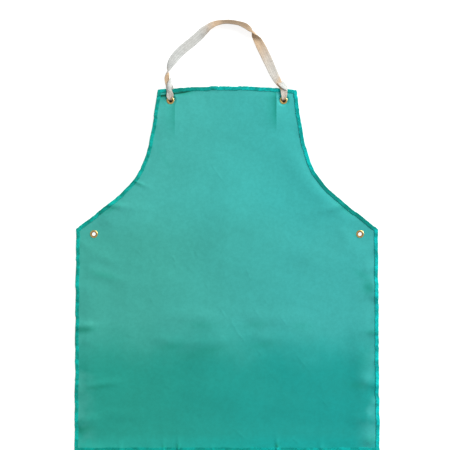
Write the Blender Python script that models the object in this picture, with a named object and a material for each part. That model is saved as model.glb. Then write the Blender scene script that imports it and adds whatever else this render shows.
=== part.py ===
"""Welding apron, laid flat: one cloth panel with overlocked edges, four brass
grommets, and a neck strap of cotton tape tied into the two bib grommets.

Frame: metres, +Z up, the apron lies on z = 0 with its face up.  +X is to the
right of the face, +Y runs from the hem towards the neck strap, and the origin
is the middle of the whole object's box, on the surface that it lies on.
"""

import math

import bmesh
import bpy
import numpy as np
from mathutils import Vector

MM = 0.001

# Driving dimensions, in millimetres; heights up the apron are from the hem.
OVERALL_LENGTH = 862.0      # hem to the outer face of the strap's top
HEM_HALF_WIDTH = 305.0
WAIST_HALF_WIDTH = 301.5
WAIST_HEIGHT = 444.0
BIB_HALF_WIDTH = 139.0
BIB_HEIGHT = 722.0          # at the bib's corners
BIB_CROWN = 7.0             # how much higher the top edge is in its middle
ARMHOLE_LEAVES_BIB_DEG = 7.4      # from straight down
ARMHOLE_MEETS_WAIST_DEG = 51.8    # from straight down
ARMHOLE_BIB_PULL = 186.0
ARMHOLE_WAIST_PULL = 167.0

CLOTH_THICKNESS = 0.6
THREAD_THICKNESS = 0.5      # one layer of overlock stitching
OVERLOCK_WIDTH = 7.8
GAP = 0.3                   # between pieces that touch
PANEL_UNDERSIDE = THREAD_THICKNESS + GAP
PANEL_FACE = PANEL_UNDERSIDE + CLOTH_THICKNESS
EDGE_INSET = THREAD_THICKNESS + GAP     # cloth's edge inside the overlock's

# The top of the bib lies on the tape loops, so it is lifted by this much.
LIFT = 1.4
LIFT_STARTS = 600.0
LIFT_ENDS = 686.0

GROMMET_HOLE_RADIUS = 3.7
BARREL_RADIUS = 4.1
FLANGE_RADIUS = 7.75
FLANGE_HEIGHT = 1.0
WASHER_THICKNESS = 0.4
CLOTH_HOLE_RADIUS = BARREL_RADIUS + GAP
BIB_GROMMET = (113.0, 701.0)
WAIST_GROMMET = (266.0, 434.0)

TAPE_WIDTH = 19.0
TAPE_THICKNESS = 1.2
KNOT_HEIGHT = 4.5           # also the height of the strap's swing axis
KNOT_AXIS = 732.5           # up the apron
KNOT_RADIUS = 4.5
KNOT_HALF_LENGTH = 6.0
TAIL_LENGTH = 15.0

# The straight stretch at the strap's top, on edge, reaches the overall length.
STRAP_TOP = OVERALL_LENGTH - TAPE_THICKNESS / 2

# The neck strap's route from the left knot to the right one: x, height up the
# apron, the tape's width there, and its roll in degrees (0 lies flat).
STRAP_ROUTE = [
    (-117, 738, 8, 0), (-120, 746, 9, 0), (-121, 755, 10, 0), (-117, 766, 12, 0),
    (-111, 778, 16, 0), (-103, 790, 19, 0), (-91, 802, 19, 0), (-77, 814, 19, 0),
    (-63, 827, 19, 4), (-51, 838, 19, 20), (-37, 849, 19, 48), (-22, 857, 19, 78),
    (-8, STRAP_TOP, 19, 90), (10, STRAP_TOP, 19, 90), (28, 855, 19, 90), (41, 847, 19, 108),
    (51, 836, 19, 140), (59, 824, 19, 168), (66, 811, 19, 180), (74, 796, 19, 180),
    (82, 780, 19, 180), (90, 764, 18, 180), (98, 749, 14, 180), (106, 738, 9, 180),
]
STRAP_STEP = 8.0            # spacing of the strap's stations
STRAP_SETTLES_OVER = 26.0   # from knot height down to the surface

ARMHOLE_STEPS = 26
TOP_STEPS = 10
SIDE_STEPS = 4
HEM_STEPS = 6
ROUND_SEGMENTS = 32

COLOURS = {
    "cloth": (0.045, 0.42, 0.35),
    "overlock": (0.0, 0.30, 0.24),
    "brass": (0.72, 0.46, 0.13),
    "tape": (0.62, 0.56, 0.44),
}


def clear_scene():
    for item in list(bpy.data.objects):
        bpy.data.objects.remove(item, do_unlink=True)


def material(name, colour, roughness, metallic=0.0):
    made = bpy.data.materials.new(name)
    made.use_nodes = True
    shader = made.node_tree.nodes["Principled BSDF"]
    shader.inputs["Base Color"].default_value = (*colour, 1.0)
    shader.inputs["Roughness"].default_value = roughness
    shader.inputs["Metallic"].default_value = metallic
    return made


def place(x, up, z):
    """A point given from the hem's middle, in millimetres, in the row's frame."""
    return Vector((x * MM, (up - OVERALL_LENGTH / 2) * MM, z * MM))


def lift(up):
    """How much the cloth is raised at a height up the apron."""
    t = min(max((up - LIFT_STARTS) / (LIFT_ENDS - LIFT_STARTS), 0.0), 1.0)
    return LIFT * t * t * (3.0 - 2.0 * t)


def finish_mesh(name, bm, surface, smooth_deg=None, origin=None):
    """The mesh as a named object, with its origin moved to a point if given."""
    bmesh.ops.recalc_face_normals(bm, faces=bm.faces)
    mesh = bpy.data.meshes.new(name)
    if origin is not None:
        bmesh.ops.translate(bm, vec=-origin, verts=bm.verts)
    bm.to_mesh(mesh)
    bm.free()
    mesh.materials.append(surface)
    if smooth_deg is not None:
        mesh.shade_smooth()
        mesh.set_sharp_from_angle(angle=math.radians(smooth_deg))
    made = bpy.data.objects.new(name, mesh)
    bpy.context.collection.objects.link(made)
    if origin is not None:
        made.location = origin
    return made


def bezier(a, b, c, d, steps):
    """Points of a cubic Bezier curve, without its last one."""
    found = []
    for i in range(steps):
        t = i / steps
        s = 1.0 - t
        found.append(a * s**3 + b * 3 * s * s * t + c * 3 * s * t * t + d * t**3)
    return found


def straight(a, b, steps):
    return [a + (b - a) * (i / steps) for i in range(steps)]


def outline_edges():
    """The outer edge as six runs of points, anticlockwise from the hem's left
    corner; each run stops one point short of the next run's first."""
    hem_left, hem_right = Vector((-HEM_HALF_WIDTH, 0)), Vector((HEM_HALF_WIDTH, 0))
    waist_right = Vector((WAIST_HALF_WIDTH, WAIST_HEIGHT))
    bib_right = Vector((BIB_HALF_WIDTH, BIB_HEIGHT))
    leaves = math.radians(ARMHOLE_LEAVES_BIB_DEG)
    meets = math.radians(ARMHOLE_MEETS_WAIST_DEG)
    near_bib = bib_right + ARMHOLE_BIB_PULL * Vector((math.sin(leaves), -math.cos(leaves)))
    near_waist = waist_right + ARMHOLE_WAIST_PULL * Vector((-math.sin(meets), math.cos(meets)))

    def other_side(point):
        return Vector((-point.x, point.y))

    top = []
    for i in range(TOP_STEPS):
        across = 1.0 - 2.0 * i / TOP_STEPS
        rise = BIB_CROWN * (1.0 - across * across)
        top.append(Vector((BIB_HALF_WIDTH * across, BIB_HEIGHT + rise)))
    return {
        "hem": straight(hem_left, hem_right, HEM_STEPS),
        "right_side": straight(hem_right, waist_right, SIDE_STEPS),
        "right_armhole": bezier(waist_right, near_waist, near_bib, bib_right, ARMHOLE_STEPS),
        "top": top,
        "left_armhole": bezier(other_side(bib_right), other_side(near_bib),
                               other_side(near_waist), other_side(waist_right), ARMHOLE_STEPS),
        "left_side": straight(other_side(waist_right), hem_left, SIDE_STEPS),
    }


def mitres(points):
    """For each point of a closed outline, the way in for one unit of inset."""
    found = []
    for i, here in enumerate(points):
        before = (here - points[i - 1]).normalized()
        after = (points[(i + 1) % len(points)] - here).normalized()
        inward = Vector((-before.y, before.x)) + Vector((-after.y, after.x))
        inward.normalize()
        found.append(inward / inward.dot(Vector((-after.y, after.x))))
    return found


def cylinder_cutter(name, x, up, radius):
    bm = bmesh.new()
    bmesh.ops.create_cone(bm, cap_ends=True, segments=ROUND_SEGMENTS, radius1=radius * MM,
                          radius2=radius * MM, depth=20 * MM)
    bmesh.ops.translate(bm, vec=place(x, up, 0), verts=bm.verts)
    mesh = bpy.data.meshes.new(name)
    bm.to_mesh(mesh)
    bm.free()
    cutter = bpy.data.objects.new(name, mesh)
    bpy.context.collection.objects.link(cutter)
    cutter.hide_render = True
    cutter.display_type = "WIRE"
    return cutter


def grommet_places():
    for level, (x, up) in (("bib", BIB_GROMMET), ("waist", WAIST_GROMMET)):
        yield f"left_{level}", -x, up
        yield f"right_{level}", x, up


def make_panel(edges, surface):
    """The cloth: the inset outline as a flat sheet, four holes cut through it,
    then its top raised with the rest of the bib."""
    outline = [point for run in edges.values() for point in run]
    rim = [p + m * EDGE_INSET for p, m in zip(outline, mitres(outline))]
    bm = bmesh.new()
    lower = [bm.verts.new(place(p.x, p.y, PANEL_UNDERSIDE)) for p in rim]
    bm.faces.new(lower)
    moved = bmesh.ops.extrude_face_region(bm, geom=bm.faces[:])["geom"]
    upper = [v for v in moved if isinstance(v, bmesh.types.BMVert)]
    bmesh.ops.translate(bm, vec=Vector((0, 0, CLOTH_THICKNESS * MM)), verts=upper)
    panel = finish_mesh("apron_panel", bm, surface)
    for label, x, up in grommet_places():
        cut = panel.modifiers.new(label, "BOOLEAN")
        cut.operation = "DIFFERENCE"
        cut.solver = "EXACT"
        cut.object = cylinder_cutter(f"cutter_{label}", x, up, CLOTH_HOLE_RADIUS)
    whole = panel.evaluated_get(bpy.context.evaluated_depsgraph_get())
    bm = bmesh.new()
    bm.from_mesh(whole.data)
    panel.modifiers.clear()
    for up in np.linspace(LIFT_STARTS, LIFT_ENDS, 6):
        bmesh.ops.bisect_plane(bm, geom=bm.verts[:] + bm.edges[:] + bm.faces[:],
                               plane_co=place(0, up, 0), plane_no=(0, 1, 0), dist=1e-7)
    for v in bm.verts:
        v.co.z += lift(v.co.y / MM + OVERALL_LENGTH / 2) * MM
    bmesh.ops.triangulate(bm, faces=[f for f in bm.faces if len(f.verts) > 4])
    bm.to_mesh(panel.data)
    bm.free()
    return panel


def make_overlock(name, run, inward, surface):
    """One edge's overlock stitching, a channel that wraps the cloth's edge."""
    top = PANEL_FACE + GAP + THREAD_THICKNESS
    inner = THREAD_THICKNESS
    section = [
        (0.0, 0.0), (OVERLOCK_WIDTH, 0.0), (OVERLOCK_WIDTH, THREAD_THICKNESS),
        (inner, THREAD_THICKNESS), (inner, top - THREAD_THICKNESS),
        (OVERLOCK_WIDTH, top - THREAD_THICKNESS), (OVERLOCK_WIDTH, top), (0.0, top),
    ]
    bm = bmesh.new()
    rings = []
    last = len(run) - 1
    for i, (point, way) in enumerate(zip(run, inward)):
        if i == 0:
            point = point + (run[1] - run[0]).normalized() * GAP
        if i == last:
            point = point - (run[last] - run[last - 1]).normalized() * GAP
        ring = []
        for inset, z in section:
            spot = point + way * inset
            ring.append(bm.verts.new(place(spot.x, spot.y, z + lift(spot.y))))
        rings.append(ring)
    bridge_rings(bm, rings)
    return finish_mesh(name, bm, surface)


def bridge_rings(bm, rings):
    count = len(rings[0])
    for a, b in zip(rings, rings[1:]):
        for i in range(count):
            j = (i + 1) % count
            bm.faces.new((a[i], a[j], b[j], b[i]))
    bm.faces.new(rings[0])
    bm.faces.new(list(reversed(rings[-1])))


def turned(name, profile, x, up, surface):
    """A ring of brass: a closed profile of (radius, height) turned about +Z."""
    bm = bmesh.new()
    points = [bm.verts.new((r * MM, 0, z * MM)) for r, z in profile]
    lines = [bm.edges.new((a, b)) for a, b in zip(points, points[1:] + points[:1])]
    bmesh.ops.spin(bm, geom=points + lines, cent=(0, 0, 0), axis=(0, 0, 1), dvec=(0, 0, 0),
                   angle=math.tau, steps=ROUND_SEGMENTS, use_merge=True)
    bmesh.ops.remove_doubles(bm, verts=bm.verts, dist=1e-7)
    centre = place(x, up, lift(up))
    bmesh.ops.translate(bm, vec=centre, verts=bm.verts)
    return finish_mesh(name, bm, surface, smooth_deg=35, origin=centre)


def make_grommet(label, x, up, surface):
    """An eyelet, whose barrel goes down through the cloth, and its washer."""
    seat = PANEL_FACE + GAP
    crest = seat + FLANGE_HEIGHT - GAP
    eyelet = [
        (GROMMET_HOLE_RADIUS, 0.0), (BARREL_RADIUS, 0.0), (BARREL_RADIUS, seat),
        (FLANGE_RADIUS - 0.3, seat), (FLANGE_RADIUS, seat + 0.2),
        (FLANGE_RADIUS - 0.3, crest - 0.15), (FLANGE_RADIUS - 0.8, crest),
        (BARREL_RADIUS + 0.9, crest), (BARREL_RADIUS + 0.2, crest - 0.2),
        (GROMMET_HOLE_RADIUS + 0.15, seat), (GROMMET_HOLE_RADIUS, seat - 0.4),
    ]
    low = PANEL_UNDERSIDE - GAP - WASHER_THICKNESS
    high = low + WASHER_THICKNESS
    washer = [
        (CLOTH_HOLE_RADIUS, low), (FLANGE_RADIUS - 0.2, low),
        (FLANGE_RADIUS - 0.2, high), (CLOTH_HOLE_RADIUS, high),
    ]
    turned(f"{label}_grommet_eyelet", eyelet, x, up, surface)
    turned(f"{label}_grommet_washer", washer, x, up, surface)


def make_ribbon(name, stations, surface, origin=None):
    """Flat tape along stations of (centre, half width vector, half thickness)."""
    bm = bmesh.new()
    rings = []
    for centre, wide, thick in stations:
        corners = (centre - wide - thick, centre + wide - thick,
                   centre + wide + thick, centre - wide + thick)
        rings.append([bm.verts.new(c) for c in corners])
    bridge_rings(bm, rings)
    return finish_mesh(name, bm, surface, origin=origin)


def make_grommet_loop(name, x, surface):
    """The tape's gathered turn through a bib grommet: down the front from the
    knot, through the hole, and back up behind the cloth."""
    half = TAPE_THICKNESS / 2
    up = BIB_GROMMET[1]
    front = PANEL_FACE + GAP + FLANGE_HEIGHT + LIFT + half
    back = 0.5 * LIFT - 0.1
    # Height up the apron, z, half width, and the way across the tape's thickness.
    route = [
        (KNOT_AXIS - KNOT_RADIUS - 1.0, front, 2.6, (0.0, 1.0)),
        (up + 17.0, front, 3.4, (0.0, 1.0)),
        (up + 10.0, front, 4.4, (0.0, 1.0)),
        (up + 5.0, front, 3.4, (0.0, 1.0)),
        (up + 2.0, front - 0.2, 2.5, (-0.7, 0.7)),
        (up + 1.6, PANEL_FACE + LIFT, 2.2, (-1.0, 0.0)),
        (up + 1.6, back + 0.5, 2.2, (-1.0, -0.3)),
        (up + 3.4, back, 2.4, (-0.3, -1.0)),
        (up + 8.0, back, 3.6, (0.0, -1.0)),
        (KNOT_AXIS - KNOT_RADIUS - 1.0, back, 4.0, (0.0, -1.0)),
    ]
    stations = []
    for height, z, wide, (across_up, across_z) in route:
        thin = half if z > back + 0.6 else 0.45
        thick = Vector((0, across_up, across_z)).normalized() * thin * MM
        stations.append((place(x, height, z), Vector((wide * MM, 0, 0)), thick))
    return make_ribbon(name, stations, surface)


def smooth_rows(rows, step):
    """Rows of (x, height, width, roll) along a Catmull-Rom curve through the
    given ones; the width and the roll change evenly between them."""
    rows = np.array(rows, float)
    padded = np.vstack([2 * rows[0] - rows[1], rows, 2 * rows[-1] - rows[-2]])
    found = []
    for i in range(1, len(padded) - 2):
        a, b, c, d = padded[i - 1:i + 3]
        count = max(1, round(float(np.linalg.norm((c - b)[:2])) / step))
        for t in np.arange(count) / count:
            row = b + (c - b) * t
            row[:2] = 0.5 * (2 * b + (c - a) * t + (2 * a - 5 * b + 4 * c - d) * t**2
                             + (3 * b - a - 3 * c + d) * t**3)[:2]
            row[1] = min(row[1], STRAP_TOP)
            found.append(row)
    found.append(rows[-1])
    return found


def strap_stations():
    """The neck strap: it comes down from the knots to the surface, and stands
    on its edge where it turns at the top."""
    rows = smooth_rows(STRAP_ROUTE, STRAP_STEP)
    line = [Vector((row[0], row[1], 0)) for row in rows]
    along = [0.0]
    for a, b in zip(line, line[1:]):
        along.append(along[-1] + (b - a).length)
    stations = []
    for i, row in enumerate(rows):
        ahead = (line[min(i + 1, len(line) - 1)] - line[max(i - 1, 0)]).normalized()
        side = Vector((-ahead.y, ahead.x, 0))
        roll = math.radians(row[3])
        wide = (side * math.cos(roll) + Vector((0, 0, 1)) * math.sin(roll)) * row[2] / 2
        thick = ahead.cross(wide).normalized() * TAPE_THICKNESS / 2
        rests = abs(wide.z) + abs(thick.z)
        near_end = min(along[i], along[-1] - along[i]) / STRAP_SETTLES_OVER
        settle = 0.5 + 0.5 * math.cos(math.pi * min(near_end, 1.0))
        z = rests + (KNOT_HEIGHT - rests) * settle
        stations.append((place(row[0], row[1], z), wide * MM, thick * MM))
    return stations


def make_knot(name, x, pivot, surface):
    bm = bmesh.new()
    bmesh.ops.create_uvsphere(bm, u_segments=16, v_segments=10, radius=1.0)
    size = (KNOT_HALF_LENGTH * MM, KNOT_RADIUS * MM, KNOT_RADIUS * MM)
    bmesh.ops.scale(bm, vec=size, verts=bm.verts)
    bmesh.ops.translate(bm, vec=place(x, KNOT_AXIS, KNOT_HEIGHT), verts=bm.verts)
    return finish_mesh(name, bm, surface, smooth_deg=60, origin=pivot)


def make_tail(name, x, side, pivot, surface):
    """The tape's short free end, which points away from the knot."""
    start = Vector((x + side * (KNOT_HALF_LENGTH + 2.0), KNOT_AXIS + 1.0, KNOT_HEIGHT))
    ahead = Vector((side * 0.5, 1.0, -0.12)).normalized()
    across = Vector((ahead.y, -ahead.x, 0)).normalized()
    stations = []
    for share, width in ((0.0, 5.0), (0.4, 8.0), (1.0, 7.0)):
        spot = start + ahead * TAIL_LENGTH * share
        stations.append((place(*spot), across * width / 2 * MM,
                         across.cross(ahead) * TAPE_THICKNESS / 2 * MM))
    return make_ribbon(name, stations, surface, origin=pivot)


def main():
    clear_scene()
    cloth = material("fr_cotton", COLOURS["cloth"], 0.85)
    thread = material("overlock_thread", COLOURS["overlock"], 0.9)
    brass = material("brass", COLOURS["brass"], 0.28, metallic=1.0)
    tape = material("cotton_tape", COLOURS["tape"], 0.9)

    edges = outline_edges()
    make_panel(edges, cloth)
    outline = [point for run in edges.values() for point in run]
    inward = mitres(outline)
    start = 0
    for name, run in edges.items():
        picks = [(start + i) % len(outline) for i in range(len(run) + 1)]
        make_overlock(f"{name}_overlock", [outline[i] for i in picks],
                      [inward[i] for i in picks], thread)
        start += len(run)

    for label, x, up in grommet_places():
        make_grommet(label, x, up, brass)

    pivot = place(0, KNOT_AXIS, KNOT_HEIGHT)
    make_ribbon("neck_strap", strap_stations(), tape, origin=pivot)
    for side, label in ((-1, "left"), (1, "right")):
        x = side * BIB_GROMMET[0]
        make_grommet_loop(f"{label}_grommet_loop", x, tape)
        make_knot(f"{label}_knot", x, pivot, tape)
        make_tail(f"{label}_tape_tail", x, 1, pivot, tape)


main()
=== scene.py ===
"""The welding apron's looks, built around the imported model: cloth panel, overlock
stitching, brass grommets and the cotton neck tape, on a plain pale floor.

Lengths are in millimetres until place() turns them into the frame's metres:
x from the apron's middle, `up` from the hem towards the neck strap, z above the
floor.  The outline's and the tape route's numbers are the CAD model's own.
"""

import math

import bmesh
import bpy
import numpy as np
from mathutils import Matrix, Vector


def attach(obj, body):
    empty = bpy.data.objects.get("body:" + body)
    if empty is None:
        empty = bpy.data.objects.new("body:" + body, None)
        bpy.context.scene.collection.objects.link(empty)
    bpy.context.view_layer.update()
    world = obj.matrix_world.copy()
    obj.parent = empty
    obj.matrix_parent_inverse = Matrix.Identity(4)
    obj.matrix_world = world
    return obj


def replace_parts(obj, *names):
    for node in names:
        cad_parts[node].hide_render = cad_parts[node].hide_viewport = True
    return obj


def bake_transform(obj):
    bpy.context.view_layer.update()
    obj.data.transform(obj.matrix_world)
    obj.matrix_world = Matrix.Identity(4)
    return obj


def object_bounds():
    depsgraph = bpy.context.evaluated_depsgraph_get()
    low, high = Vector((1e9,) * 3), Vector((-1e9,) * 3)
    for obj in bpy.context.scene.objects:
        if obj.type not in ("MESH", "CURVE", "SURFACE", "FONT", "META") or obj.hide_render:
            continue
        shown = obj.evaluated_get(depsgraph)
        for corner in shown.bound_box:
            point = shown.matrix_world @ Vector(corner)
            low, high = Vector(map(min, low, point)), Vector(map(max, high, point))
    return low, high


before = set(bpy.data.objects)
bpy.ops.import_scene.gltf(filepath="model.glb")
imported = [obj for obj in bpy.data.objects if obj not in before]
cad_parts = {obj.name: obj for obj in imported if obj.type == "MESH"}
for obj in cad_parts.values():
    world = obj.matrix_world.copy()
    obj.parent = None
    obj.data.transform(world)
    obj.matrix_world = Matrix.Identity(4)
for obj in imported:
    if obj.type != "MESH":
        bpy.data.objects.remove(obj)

CAD_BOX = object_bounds()

MM = 0.001
OVERALL_LENGTH = round((CAD_BOX[1].y - CAD_BOX[0].y) / MM, 1)

# The outline, as in the CAD model.  LIFT is how far the bib's top stands up.
HEM_HALF_WIDTH = 305.0
WAIST_HALF_WIDTH = 301.5
WAIST_HEIGHT = 444.0
BIB_HALF_WIDTH = 139.0
BIB_HEIGHT = 722.0
BIB_CROWN = 7.0
ARMHOLE_LEAVES_BIB = math.radians(7.4)
ARMHOLE_MEETS_WAIST = math.radians(51.8)
ARMHOLE_BIB_PULL = 186.0
ARMHOLE_WAIST_PULL = 167.0
LIFT = 1.4
LIFT_STARTS = 600.0
LIFT_ENDS = 686.0
EDGE_INSET = 0.8
CLOTH_MIDDLE = 1.1
CLOTH_THICKNESS = 0.55
OVERLOCK_WIDTH = 7.8
GROMMETS = {
    "left_bib": (-113.0, 701.0), "right_bib": (113.0, 701.0),
    "left_waist": (-266.0, 434.0), "right_waist": (266.0, 434.0),
}
CLOTH_HOLE_RADIUS = 5.6      # under each grommet's flange
TAPE_WIDTH = 19.0
TAPE_COLUMN = 4.75          # the herringbone turns back this often across the tape

PANEL_PITCH = 1.7           # spacing of the cloth's grid
BIB_ROW_PITCH = 0.85 * PANEL_PITCH
TOP_ROWS_START = 696.0      # above this the rows are closer, for the rolled corner
TOP_ROWS = 44
CROWN_STARTS = 560.0        # above this the rows bend towards the top edge's crown
ARMHOLE_SLANT = 1.28        # an armhole's inset, measured along a row
FRAME_WIDTH_M = 0.9         # what the camera takes in at the floor
CAMERA_LENS = 100.0
CAMERA_SENSOR = 36.0
CAMERA_CENTRE = (-4.0, 452.0)


# ---------------------------------------------------------------- helpers

def place(x, up, z):
    """Points in the frame, in metres; takes numbers or arrays."""
    return np.stack(np.broadcast_arrays(np.asarray(x, float) * MM,
                                        (np.asarray(up, float) - OVERALL_LENGTH / 2) * MM,
                                        np.asarray(z, float) * MM), axis=-1)


def smoothstep(low, high, value):
    t = np.clip((np.asarray(value, float) - low) / (high - low), 0.0, 1.0)
    return t * t * (3.0 - 2.0 * t)


def bump(value, width):
    """A bell of height 1 at 0."""
    return np.exp(-(np.asarray(value, float) / width) ** 2)


def new_mesh(name, points, faces, materials, smooth=True):
    mesh = bpy.data.meshes.new(name)
    mesh.from_pydata(np.asarray(points).reshape(-1, 3).tolist(), [], faces)
    mesh.validate()
    for m in materials:
        mesh.materials.append(m)
    if smooth:
        mesh.shade_smooth()
    made = bpy.data.objects.new(name, mesh)
    bpy.context.collection.objects.link(made)
    return made


def add_values(piece, name, values):
    """Stores one number per vertex, for the piece's material."""
    layer = piece.data.attributes.new(name, "FLOAT", "POINT")
    layer.data.foreach_set("value", np.asarray(values, np.float32).ravel())


def tube_faces(rings, around, closed_ends=True):
    """Quads of a grid of rings, each of `around` points, with flat ends."""
    faces = []
    for i in range(rings - 1):
        for j in range(around):
            k = (j + 1) % around
            faces.append((i * around + j, i * around + k,
                          (i + 1) * around + k, (i + 1) * around + j))
    if closed_ends:
        half = around // 2
        for first, flip in ((0, True), ((rings - 1) * around, False)):
            for j in range(half - 1):
                quad = (first + j, first + j + 1,
                        first + around - 2 - j, first + around - 1 - j)
                faces.append(quad[::-1] if flip else quad)
    return faces


def directions(line):
    """The unit direction of a line of points at each of them."""
    ahead = np.gradient(line, axis=0)
    return ahead / np.linalg.norm(ahead, axis=1)[:, None]


def distance_along(line):
    return np.concatenate([[0.0], np.cumsum(np.linalg.norm(np.diff(line, axis=0), axis=1))])


def wandering(along, count, values):
    """Random values, spread evenly along a line and joined up."""
    return np.interp(along, np.linspace(0, along[-1], count), values)


# ---------------------------------------------------------------- outline

def bezier(a, b, c, d, t):
    t = t[:, None]
    s = 1.0 - t
    return a * s**3 + 3 * b * s * s * t + 3 * c * s * t * t + d * t**3


def outline_runs():
    """The six edges as finely spaced points, anticlockwise from the hem's left."""
    waist = np.array([WAIST_HALF_WIDTH, WAIST_HEIGHT])
    bib = np.array([BIB_HALF_WIDTH, BIB_HEIGHT])
    near_bib = bib + ARMHOLE_BIB_PULL * np.array(
        [math.sin(ARMHOLE_LEAVES_BIB), -math.cos(ARMHOLE_LEAVES_BIB)])
    near_waist = waist + ARMHOLE_WAIST_PULL * np.array(
        [-math.sin(ARMHOLE_MEETS_WAIST), math.cos(ARMHOLE_MEETS_WAIST)])
    flip = np.array([-1.0, 1.0])
    t = np.linspace(0.0, 1.0, 200)
    across = 1.0 - 2.0 * t
    hem = np.array([HEM_HALF_WIDTH, 0.0])
    armhole = bezier(waist, near_waist, near_bib, bib, t)
    return {
        "hem": hem * flip + (hem - hem * flip) * t[:, None],
        "right_side": hem + (waist - hem) * t[:, None],
        "right_armhole": armhole,
        "top": np.stack([BIB_HALF_WIDTH * across,
                         BIB_HEIGHT + BIB_CROWN * (1.0 - across**2)], axis=1),
        "left_armhole": (armhole * flip)[::-1],
        "left_side": (hem + (waist - hem) * t[::-1, None]) * flip,
    }


RUNS = outline_runs()


def half_width(up):
    """Half the apron's width at a height, out to the overlock's edge."""
    armhole = RUNS["right_armhole"]
    skirt = HEM_HALF_WIDTH + (WAIST_HALF_WIDTH - HEM_HALF_WIDTH) * up / WAIST_HEIGHT
    return np.where(up < WAIST_HEIGHT, skirt, np.interp(up, armhole[:, 1], armhole[:, 0]))


# ---------------------------------------------------------------- relief

# Short sharp creases: x, up, length, height, and the way each runs in degrees.
FINE_CREASES = [
    (-107, 386, 22, 0.9, -62), (-104, 372, 14, 0.7, -58), (-8, 276, 30, 1.0, -55),
    (14, 250, 24, 0.9, -58), (60, 276, 26, 1.0, -55), (112, 262, 26, 0.9, -52),
    (28, 228, 34, 1.1, -50), (42, 356, 26, 0.8, -72), (-62, 396, 16, 0.7, -60),
    (-40, 330, 16, 0.6, -58), (78, 300, 18, 0.6, -48), (150, 178, 52, 0.8, -52),
    (-14, 548, 26, 0.8, -52), (-26, 566, 16, 0.6, -56), (26, 34, 30, 0.9, -42),
    (-66, 44, 22, 0.7, -35), (138, 20, 22, 0.8, -36), (66, 196, 20, 0.7, -50),
    (-176, 398, 20, 0.7, -48), (-150, 382, 16, 0.6, -60), (196, 96, 24, 0.7, -50),
    (-34, 640, 16, 0.5, -45), (60, 560, 18, 0.5, 40), (-150, 300, 18, 0.5, -55),
    (-96, 474, 15, 0.5, -50), (118, 430, 18, 0.5, -64), (92, 150, 20, 0.5, -46),
    (-120, 130, 22, 0.5, -40), (-196, 232, 18, 0.5, -28), (20, 470, 14, 0.4, -60),
]
# Soft swells: x, up, half-widths along and across, height, and a turn in degrees.
SWELLS = [
    (-84, 270, 34, 15, 1.5, 6), (-46, 266, 22, 14, 1.3, -8), (58, 270, 26, 15, 1.3, -6),
    (114, 266, 30, 14, 1.7, 8), (-122, 222, 26, 10, 1.3, -8), (-62, 216, 24, 11, 1.3, 4),
    (-14, 220, 26, 11, 1.4, 10), (74, 226, 30, 10, 1.2, -6),
    (-160, 330, 52, 22, 1.2, 20), (150, 392, 60, 26, 1.4, -24), (-40, 120, 90, 30, 1.6, 5),
    (130, 90, 70, 26, 1.4, -8), (-236, 348, 42, 12, 1.7, -14), (-240, 384, 30, 10, 1.3, -20),
    (296, 324, 13, 20, 5.0, 12), (286, 366, 16, 11, 2.2, 30), (298, 240, 12, 12, 3.4, 0),
    (284, 141, 22, 10, 2.8, -10), (278, 66, 26, 11, 2.2, 14), (288, 22, 18, 12, 3.2, 20),
    (262, 196, 16, 26, 1.6, 0), (-288, 252, 22, 8, 3.8, 0), (-292, 222, 20, 10, 1.8, 0),
    (-256, 134, 42, 8, 1.8, 6), (-280, 62, 30, 10, 3.0, 12), (-272, 0, 54, 13, 3.4, 0),
    (-298, 330, 16, 22, 1.5, 0), (-220, 74, 40, 12, 1.0, 0), (150, 4, 60, 12, 1.0, 0),
    (-40, 2, 50, 12, 0.9, 0), (248, 428, 26, 12, 1.8, -38), (-246, 448, 26, 10, 1.2, 34),
]
# Folds that run in from an edge: x and up at the edge, length inwards, width
# along the edge, height, and the way in, in degrees.
EDGE_FOLDS = [
    (-304, 246, 34, 5, 1.6, 0), (-304, 48, 42, 6, 1.5, 8), (-303, 330, 24, 7, 1.0, -6),
    (304, 308, 34, 6, 1.6, 176), (304, 236, 38, 6, 1.6, 176), (304, 132, 46, 6, 1.8, 182),
    (304, 60, 26, 7, 1.2, 178), (-186, 540, 30, 2.6, 1.6, -24), (-232, 492, 50, 5, 2.2, -8),
    (236, 492, 60, 6, 2.8, 196), (302, 408, 40, 8, 1.4, 200), (-302, 420, 50, 7, 1.2, -16),
    (-127, 0, 20, 2.2, 1.2, 90), (-98, 0, 24, 2.2, 1.5, 88), (100, 0, 26, 2.2, 1.8, 92),
    (-30, 0, 18, 4, 0.8, 90), (188, 0, 20, 3, 1.0, 94), (-214, 0, 20, 3, 1.0, 86),
    (304, 180, 22, 5, 1.0, 184), (304, 96, 24, 5, 1.2, 170), (304, 20, 26, 5, 1.2, 168),
    (-304, 120, 24, 5, 1.0, 4), (-303, 190, 18, 5, 0.8, -4), (-303, 384, 20, 5, 0.9, 6),
]
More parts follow.
